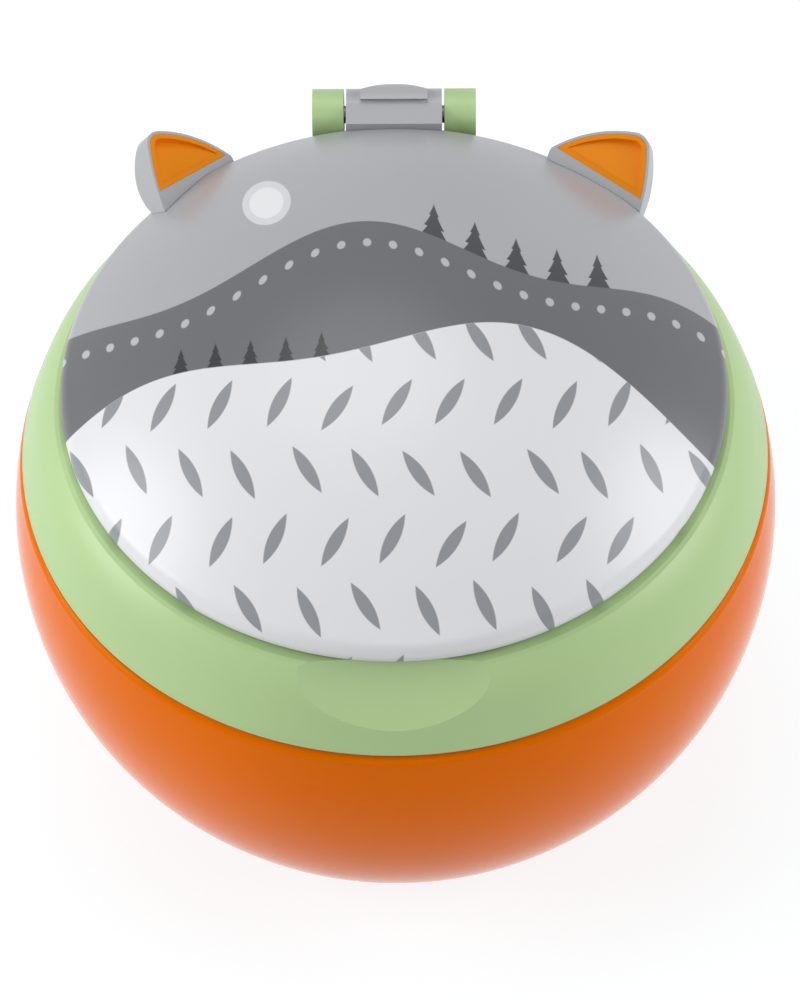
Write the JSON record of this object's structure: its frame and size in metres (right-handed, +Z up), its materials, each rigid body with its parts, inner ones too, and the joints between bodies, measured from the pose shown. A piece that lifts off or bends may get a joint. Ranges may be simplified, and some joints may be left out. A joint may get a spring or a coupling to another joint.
{
  "type": "toddler snack container",
  "caption": "Ball-shaped toddler snack cup with a screw-on collar, soft flap guard and a hinged dome lid with two rounded ears.",
  "frame": {"origin": "centre of the flat foot, on the table", "axes": "+Z up along the ball's axis, thumb scoop towards -Y, hinge towards +Y, +X to the right seen from the front"},
  "size_m": [0.105, 0.105, 0.0881],
  "materials": {
    "bowl": "glossy moulded polypropylene",
    "guard": "soft satin elastomer",
    "collar": "satin moulded polypropylene",
    "pin": "drawn pin",
    "lid": "glossy moulded plastic with a printed pattern",
    "seal": "soft elastomer ring",
    "ear": "glossy moulded plastic",
    "ear_inlay": "satin moulded plastic"
  },
  "bodies": {
    "bowl": {"bowl": "bowl", "neck": "bowl"},
    "guard": {"guard_ring": "guard"},
    "flap_1": {"guard_flap_1": "guard"},
    "flap_2": {"guard_flap_2": "guard"},
    "flap_3": {"guard_flap_3": "guard"},
    "flap_4": {"guard_flap_4": "guard"},
    "flap_5": {"guard_flap_5": "guard"},
    "flap_6": {"guard_flap_6": "guard"},
    "flap_7": {"guard_flap_7": "guard"},
    "flap_8": {"guard_flap_8": "guard"},
    "collar": {"collar": "collar", "thread_ring": "collar", "hinge_pin": "pin"},
    "lid": {"lid_shell": "lid", "lid_seal": "seal", "ear_left": "ear", "ear_right": "ear", "ear_inlay_left": "ear_inlay", "ear_inlay_right": "ear_inlay"}
  },
  "joints": [
    {"name": "collar_lift", "type": "slide", "parent": "bowl", "child": "guard", "axis": [0, 0, 1], "range_m": [0, 0.006]},
    {"name": "collar_twist", "type": "hinge", "parent": "guard", "child": "collar", "pos_m": [0, 0, 0], "axis": [0, 0, 1], "range_deg": [0, 360]},
    {"name": "lid_hinge", "type": "hinge", "parent": "collar", "child": "lid", "pos_m": [0, 0.0477, 0.07058], "axis": [-1, 0, 0], "range_deg": [0, 165]},
    {"name": "flap_1_fold", "type": "hinge", "parent": "guard", "child": "flap_1", "pos_m": [0.02929, 0.01213, 0.06373], "axis": [0.3827, -0.9239, 0], "range_deg": [0, 60], "stiffness_Nm_per_rad": 0.01},
    {"name": "flap_2_fold", "type": "hinge", "parent": "guard", "child": "flap_2", "pos_m": [0.01213, 0.02929, 0.06373], "axis": [0.9239, -0.3827, 0], "range_deg": [0, 60], "stiffness_Nm_per_rad": 0.01},
    {"name": "flap_3_fold", "type": "hinge", "parent": "guard", "child": "flap_3", "pos_m": [-0.01213, 0.02929, 0.06373], "axis": [0.9239, 0.3827, 0], "range_deg": [0, 60], "stiffness_Nm_per_rad": 0.01},
    {"name": "flap_4_fold", "type": "hinge", "parent": "guard", "child": "flap_4", "pos_m": [-0.02929, 0.01213, 0.06373], "axis": [0.3827, 0.9239, 0], "range_deg": [0, 60], "stiffness_Nm_per_rad": 0.01},
    {"name": "flap_5_fold", "type": "hinge", "parent": "guard", "child": "flap_5", "pos_m": [-0.02929, -0.01213, 0.06373], "axis": [-0.3827, 0.9239, 0], "range_deg": [0, 60], "stiffness_Nm_per_rad": 0.01},
    {"name": "flap_6_fold", "type": "hinge", "parent": "guard", "child": "flap_6", "pos_m": [-0.01213, -0.02929, 0.06373], "axis": [-0.9239, 0.3827, 0], "range_deg": [0, 60], "stiffness_Nm_per_rad": 0.01},
    {"name": "flap_7_fold", "type": "hinge", "parent": "guard", "child": "flap_7", "pos_m": [0.01213, -0.02929, 0.06373], "axis": [-0.9239, -0.3827, 0], "range_deg": [0, 60], "stiffness_Nm_per_rad": 0.01},
    {"name": "flap_8_fold", "type": "hinge", "parent": "guard", "child": "flap_8", "pos_m": [0.02929, -0.01213, 0.06373], "axis": [-0.3827, -0.9239, 0], "range_deg": [0, 60], "stiffness_Nm_per_rad": 0.01}
  ],
  "couplings": [
    {"joint": "collar_lift", "follows": "collar_twist", "m_per_rad": 0.00095493}
  ]
}
